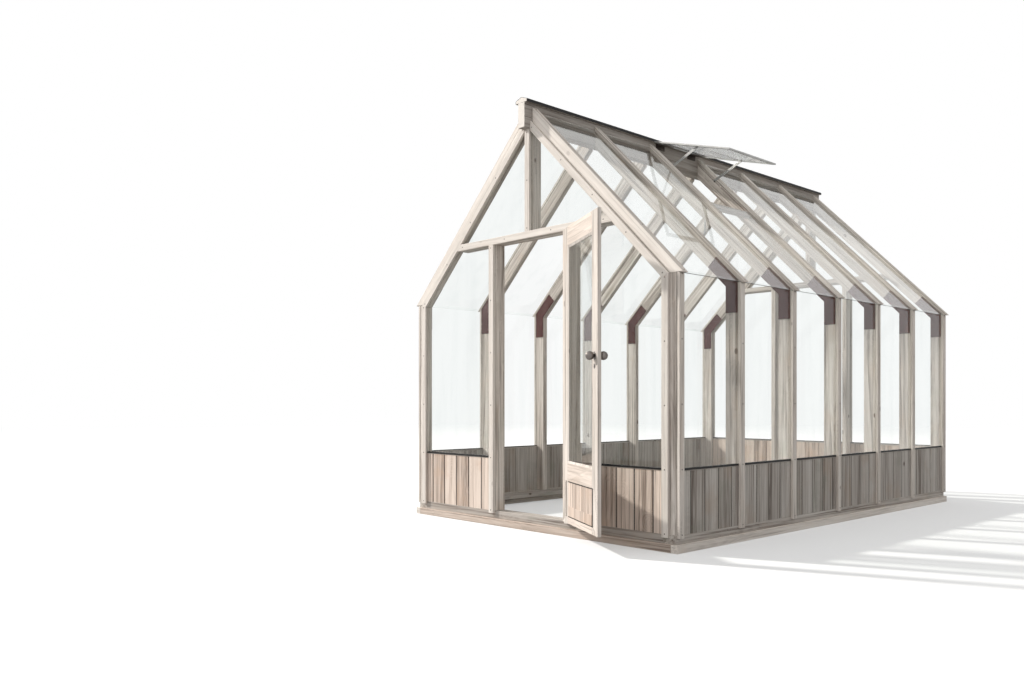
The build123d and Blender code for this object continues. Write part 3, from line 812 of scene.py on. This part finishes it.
def build_door_panel():
    """Narrow boards over a plain one in the door, with nearly black liners of painted shade in the groove
    round them, in place of its panel.
    """
    low, high = shut_box("door_panel")
    low.y -= DOOR_PANEL_PROUD
    high.y += DOOR_PANEL_PROUD
    shape = bmesh.new()
    left = low.x + DOOR_PANEL_GAP
    right = high.x - DOOR_PANEL_GAP
    foot_low = low.z + DOOR_PANEL_GAP
    foot_high = foot_low + DOOR_FOOT_HIGH
    boards_high = high.z - DOOR_PANEL_GAP
    edges = board_edges(left, right, 0.0, DOOR_BOARD_PITCH)
    add_boards(shape, edges, foot_high, boards_high, high.y - low.y, DOOR_SECTION,
               Matrix.Translation((0, low.y, 0)), random.Random("door"))
    foot = rectangle(left, right, low.y - DOOR_FOOT_PROUD, high.y + DOOR_FOOT_PROUD)
    add_prism(shape, foot, foot_low, foot_high, Matrix.Identity(4))
    panel = object_from("door_boards", mesh_from("door_boards", shape), door_panel_wood, DOOR,
                        SWING)
    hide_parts("door_panel")
    # Nearly black liners in the groove round the panel: painted shade
    groove = bmesh.new()
    near = low.y + GAP_SHADE_DEPTH
    far = high.y - GAP_SHADE_DEPTH
    add_prism(groove, rectangle(low.x, left, near, far), low.z, high.z, Matrix.Identity(4))
    add_prism(groove, rectangle(right, high.x, near, far), low.z, high.z, Matrix.Identity(4))
    add_prism(groove, rectangle(left, right, near, far), low.z, foot_low, Matrix.Identity(4))
    add_prism(groove, rectangle(left, right, near, far), boards_high, high.z, Matrix.Identity(4))
    object_from("door_groove_shade", mesh_from("door_groove_shade", groove), gap_shade_wood, DOOR, SWING)


def add_bead_frame(shape, low, high, near, far, wide):
    """Add four mitred beads round an opening, sloping down from the face at near to the glass at far."""
    outer = [Vector((low.x, 0, low.z)), Vector((high.x, 0, low.z)), Vector((high.x, 0, high.z)),
             Vector((low.x, 0, high.z))]
    inner = [corner + Vector((wide * math.copysign(1, -corner.x), 0, inward))
             for corner, inward in zip(outer, (wide, wide, -wide, -wide))]
    middle_depth = near + (far - near) * DOOR_BEAD_FALL
    rings = [(outer, near), (outer, far), (inner, far), (inner, middle_depth)]
    loops = [[shape.verts.new((corner.x, depth, corner.z)) for corner in corners] for corners, depth in rings]
    for number, loop in enumerate(loops):
        following = loops[(number + 1) % len(loops)]
        for corner in range(len(loop)):
            after = (corner + 1) % len(loop)
            shape.faces.new((loop[corner], loop[after], following[after], following[corner]))


def build_door_beads():
    """Beads that hold the door's glass on both of its faces."""
    shape = bmesh.new()
    low, high = shut_box("door_glass")
    leaf_low, leaf_high = shut_box("door_rails")
    add_bead_frame(shape, low, high, leaf_low.y + DOOR_BEAD_SUNK, low.y, DOOR_BEAD_WIDE)
    add_bead_frame(shape, low, high, leaf_high.y - DOOR_BEAD_SUNK, high.y, DOOR_BEAD_WIDE)
    object_from("door_beads", mesh_from("door_beads", shape), door_wood, DOOR, SWING)


def add_turned(shape, profile, sides, place):
    """Add a closed turned shape: a profile of (radius, height) points about the Z axis of its place."""
    loops = []
    spokes = [2 * math.pi * number / sides for number in range(sides)]
    for radius, height in profile:
        ring = [Vector((radius * math.cos(spoke), radius * math.sin(spoke), height)) for spoke in spokes]
        loops.append([shape.verts.new(place @ point) for point in ring])
    shape.faces.new(list(reversed(loops[0])))
    shape.faces.new(loops[-1])
    for below, above in zip(loops, loops[1:]):
        for number in range(sides):
            after = (number + 1) % sides
            shape.faces.new((below[number], below[after], above[after], above[number]))


def add_screw(shape, place, radius=SCREW_RADIUS, proud=SCREW_PROUD):
    """Add a screw head that stands up along the Z axis of its place, with a socket in its middle."""
    head = [(radius * across, proud * up) for across, up in SCREW_PROFILE]
    add_turned(shape, [(radius, -SCREW_SUNK), *head], SCREW_SIDES, place)


def facing(place, direction):
    """Place whose Z axis points in a direction."""
    return Matrix.Translation(place) @ Vector(direction).to_track_quat("Z", "Y").to_matrix().to_4x4()


def spaced(start, finish, spacing):
    """Even steps between two places, from one end margin to the other, as shares of the way."""
    run = (finish - start).length
    count = max(1, round((run - 2 * SCREW_END) / spacing))
    return [start.lerp(finish, (SCREW_END + (run - 2 * SCREW_END) * step / count) / run)
            for step in range(count + 1)]


def add_screw_row(shape, start, finish, direction):
    """Add screws at even steps along a line."""
    for place in spaced(start, finish, SCREW_SPACING):
        add_screw(shape, facing(place, direction))


def add_side_screws(shape, name, side):
    """Add the screws in the cover strips of a long wall and of the roof slope above it."""
    for low, high in solid_boxes(name + "_wall_strips"):
        outer = high.x if side > 0 else low.x
        middle = (low.y + high.y) / 2
        add_screw_row(shape, Vector((outer, middle, low.z)), Vector((outer, middle, high.z)), (side, 0, 0))
    for low, high in solid_boxes(name + "_roof_strips"):
        outer, inner = (high.x, low.x) if side > 0 else (low.x, high.x)
        middle = (low.y + high.y) / 2
        add_screw_row(shape, Vector((outer, middle, low.z)), Vector((inner, middle, high.z)), (side, 0, 1))


def add_gable_screws(shape, name, end):
    """Add the screws in the cover strips of a gable."""
    direction = (0, end, 0)
    transom_low, transom_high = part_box(name + "_transom_strip")
    face = transom_high.y if end > 0 else transom_low.y
    strip_wide = transom_high.z - transom_low.z
    level = (transom_low.z + transom_high.z) / 2
    add_screw_row(shape, Vector((transom_low.x + strip_wide, face, level)),
                  Vector((transom_high.x - strip_wide, face, level)), direction)
    for low, high in solid_boxes(name + "_post_strips"):
        middle = (low.x + high.x) / 2
        add_screw_row(shape, Vector((middle, face, low.z)), Vector((middle, face, high.z)), direction)
    for low, high in solid_boxes(name + "_rafter_strips"):
        side = math.copysign(1, low.x + high.x)
        top_across = min(abs(low.x), abs(high.x))
        foot_across = max(abs(low.x), abs(high.x)) - strip_wide / 2
        top_height = high.z - strip_wide / math.sqrt(2)
        foot_height = top_height - (foot_across - top_across)
        add_screw_row(shape, Vector((side * foot_across, face, foot_height)),
                      Vector((side * top_across, face, top_height)), direction)


def build_strip_screws():
    """Screws that hold the cover strips."""
    shape = bmesh.new()
    for name, side in SIDES.items():
        add_side_screws(shape, name, side)
    for name, end in ENDS.items():
        add_gable_screws(shape, name, end)
    object_from("strip_screws", mesh_from("strip_screws", shape), dark_steel, BUILDING)


def build_hinge_screws():
    """Screws in the plates of the hinges, on the post and on the door."""
    face = shut_box("door_rails")[0].y - HINGE_PLATE_THICK
    on_post = bmesh.new()
    on_leaf = bmesh.new()
    for low, high in solid_boxes("door_hinge_post_halves"):
        spacing = (high.z - low.z) / HINGE_SCREW_COUNT
        for number in range(HINGE_SCREW_COUNT):
            height = low.z + spacing * (number + 0.5)
            post_place = (HINGE_PLACE.x + HINGE_POST_SCREW, face, height)
            leaf_place = (HINGE_PLACE.x - HINGE_LEAF_SCREW, face, height)
            add_screw(on_post, facing(post_place, (0, -1, 0)), HINGE_SCREW_RADIUS)
            add_screw(on_leaf, facing(leaf_place, (0, -1, 0)), HINGE_SCREW_RADIUS)
    object_from("hinge_post_screws", mesh_from("hinge_post_screws", on_post), dark_steel, BUILDING)
    object_from("hinge_leaf_screws", mesh_from("hinge_leaf_screws", on_leaf), dark_steel, DOOR,
                SWING)


def build_stay_bolts():
    """Bolts at both ends of the vent's stays, on the sides that face each other."""
    shape = bmesh.new()
    boxes = solid_boxes("vent_stays")
    middle = sum((low.y + high.y) / 2 for low, high in boxes) / len(boxes)
    for low, high in boxes:
        inward = 1 if high.y < middle else -1
        face = high.y if inward > 0 else low.y
        foot = Vector((low.x, face, low.z))
        head = Vector((high.x, face, high.z))
        run = (head - foot).normalized()
        for place in (foot + run * BOLT_END, head - run * BOLT_END):
            add_screw(shape, facing(place, (0, inward, 0)), BOLT_RADIUS, BOLT_PROUD)
    object_from("stay_bolts", mesh_from("stay_bolts", shape), dark_steel, BUILDING)


def knob_profile():
    """Profile of a round door knob with its neck and rosette, from the face of the door outwards."""
    profile = [(ROSETTE_RADIUS, 0.0), (ROSETTE_RADIUS, ROSETTE_EDGE_HIGH),
               (ROSETTE_TOP_RADIUS, ROSETTE_THICK), (NECK_FOOT_RADIUS, ROSETTE_THICK)]
    first = math.asin(NECK_RADIUS / KNOB_RADIUS)
    for step in range(KNOB_STEPS + 1):
        turn = first + (math.pi - KNOB_TIP - first) * step / KNOB_STEPS
        height = KNOB_REACH - KNOB_RADIUS - KNOB_RADIUS * math.cos(turn)
        profile.append((KNOB_RADIUS * math.sin(turn), height))
    return profile


def build_knobs():
    """Knobs on both faces of the door, each with a keyhole plate below it, whose keyhole is a black shape of
    painted shade.
    """
    knobs = bmesh.new()
    keyhole_shades = bmesh.new()
    low, high = shut_box("door_knobs")
    leaf_low, leaf_high = shut_box("door_rails")
    centre = (low + high) / 2
    plate_profile = [(PLATE_RADIUS, 0.0), (PLATE_RADIUS, PLATE_EDGE_HIGH), (PLATE_TOP_RADIUS, PLATE_PROUD)]
    hole_profile = [(KEYHOLE_RADIUS, PLATE_EDGE_HIGH), (KEYHOLE_RADIUS, PLATE_PROUD + KEYHOLE_PROUD)]
    for face, outward in ((leaf_low.y, -1), (leaf_high.y, 1)):
        direction = (0, outward, 0)
        place = Vector((centre.x, face, centre.z))
        plate = place - Vector((0, 0, PLATE_DROP))
        add_turned(knobs, knob_profile(), KNOB_SIDES, facing(place, direction))
        add_turned(knobs, plate_profile, KNOB_SIDES, facing(plate, direction))
        # The keyhole is a black shape standing on the plate: painted shade of the hole
        hole = plate + Vector((0, 0, KEYHOLE_ROUND_UP))
        add_turned(keyhole_shades, hole_profile, SCREW_SIDES, facing(hole, direction))
        depths = sorted((face, face + outward * (PLATE_PROUD + KEYHOLE_PROUD)))
        slot = rectangle(plate.x - KEYHOLE_RADIUS / 2, plate.x + KEYHOLE_RADIUS / 2, *depths)
        add_prism(keyhole_shades, slot, plate.z - KEYHOLE_LONG / 2, hole.z, Matrix.Identity(4))
    piece = object_from("door_knob_pair", mesh_from("door_knob_pair", knobs, SMOOTH_ANGLE), knob_steel, DOOR,
                        SWING)
    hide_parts("door_knobs")
    object_from("door_keyhole_shades", mesh_from("door_keyhole_shades", keyhole_shades), black, DOOR, SWING)


build_door_panel()
build_door_beads()
build_knobs()
build_strip_screws()
build_hinge_screws()
build_stay_bolts()

# Stage

KEY_DIRECTION = Vector((2.4, 1.0, -1.63))
KEY_STRENGTH = 4.2
KEY_ANGLE = math.radians(3)
KEY_TINT = (1.0, 0.965, 0.920)
FILL_DIRECTION = Vector((-0.3, 1.0, -0.4))
FILL_STRENGTH = 0.8
FILL_ANGLE = math.radians(100)
FILL_TINT = (1.0, 1.0, 1.0)
SKY_STRENGTH = 0.56
FLOOR_SIZE = 200.0
FLOOR_COLOUR = 0.92
FLOOR_BOUNCE = 0.34
FLOOR_GLOW = 0.30
FLOOR_ROUGH = 0.9
FLOOR_GLOSS = 0.1
FADE_NEAR = 9.0
FADE_FAR = 26.0


def seen_directly(tree):
    """One for rays that show the background: from the camera, or by way of gloss or glass."""
    path = put(tree, "ShaderNodeLightPath")
    seen = calculate(tree, "MAXIMUM", path.outputs["Is Camera Ray"], path.outputs["Is Glossy Ray"])
    return calculate(tree, "MAXIMUM", seen, path.outputs["Is Transmission Ray"])


def build_floor():
    """Pale floor that turns into the white background far away."""
    mesh = bpy.data.meshes.new("floor")
    half = FLOOR_SIZE / 2
    mesh.from_pydata([(-half, -half, 0), (half, -half, 0), (half, half, 0), (-half, half, 0)], [],
                     [(0, 1, 2, 3)])
    floor = bpy.data.objects.new("floor", mesh)
    bpy.context.scene.collection.objects.link(floor)
    material, tree, shader = new_material("floor")
    mesh.materials.append(material)
    place = put(tree, "ShaderNodeTexCoord").outputs["Object"]
    moved = put(tree, "ShaderNodeVectorMath", {0: place, 1: (0.0, -LENGTH / 2, 0.0)},
                operation="ADD").outputs[0]
    distance = put(tree, "ShaderNodeVectorMath", {0: moved}, operation="LENGTH").outputs["Value"]
    far = between(tree, distance, FADE_NEAR, FADE_FAR, FLOOR_GLOW, 1.0)
    path = put(tree, "ShaderNodeLightPath")
    tone = mixed(tree, path.outputs["Is Diffuse Ray"], colour(FLOOR_COLOUR, FLOOR_COLOUR, FLOOR_COLOUR),
                 colour(FLOOR_BOUNCE, FLOOR_BOUNCE, FLOOR_BOUNCE))
    tree.links.new(tone, shader.inputs["Base Color"])
    shader.inputs["Roughness"].default_value = FLOOR_ROUGH
    shader.inputs["Specular IOR Level"].default_value = FLOOR_GLOSS
    glow = put(tree, "ShaderNodeEmission", {"Color": colour(1, 1, 1), "Strength": 1.0})
    show_mix(tree, calculate(tree, "MULTIPLY", far, seen_directly(tree)), shader, glow)


def build_sky():
    """White background, with a softer light from it on the object."""
    world = bpy.data.worlds.new("sky")
    bpy.context.scene.world = world
    world.use_nodes = True
    tree = world.node_tree
    tree.nodes.clear()
    strength = between(tree, seen_directly(tree), 0.0, 1.0, SKY_STRENGTH, 1.0)
    light = put(tree, "ShaderNodeBackground", {"Color": colour(1, 1, 1), "Strength": strength})
    put(tree, "ShaderNodeOutputWorld", {"Surface": light.outputs[0]})


def build_sun(name, direction, strength, angle, tint):
    """Distant lamp that shines in a direction."""
    lamp = bpy.data.lights.new(name, "SUN")
    lamp.energy = strength
    lamp.angle = angle
    lamp.color = tint
    sun = bpy.data.objects.new(name, lamp)
    sun.rotation_euler = direction.to_track_quat("-Z", "Y").to_euler()
    bpy.context.scene.collection.objects.link(sun)


CAMERA_PLACE = (4.467, -4.288, 0.920)
CAMERA_HEADING = math.radians(47.30)
CAMERA_LENS = 30.82
CAMERA_SENSOR = 36.0
CAMERA_SHIFT = 0.0571


def build_camera():
    """Level camera at the corner of the building, with the lens shifted up."""
    lens = bpy.data.cameras.new("camera")
    lens.lens = CAMERA_LENS
    lens.sensor_width = CAMERA_SENSOR
    lens.shift_y = CAMERA_SHIFT
    camera = bpy.data.objects.new("camera", lens)
    camera.location = CAMERA_PLACE
    camera.rotation_euler = Euler((QUARTER, 0.0, CAMERA_HEADING))
    bpy.context.scene.collection.objects.link(camera)
    bpy.context.scene.camera = camera


build_floor()
build_sky()
build_sun("key", KEY_DIRECTION, KEY_STRENGTH, KEY_ANGLE, KEY_TINT)
build_sun("fill", FILL_DIRECTION, FILL_STRENGTH, FILL_ANGLE, FILL_TINT)
build_camera()
bpy.context.scene.view_settings.view_transform = "Standard"
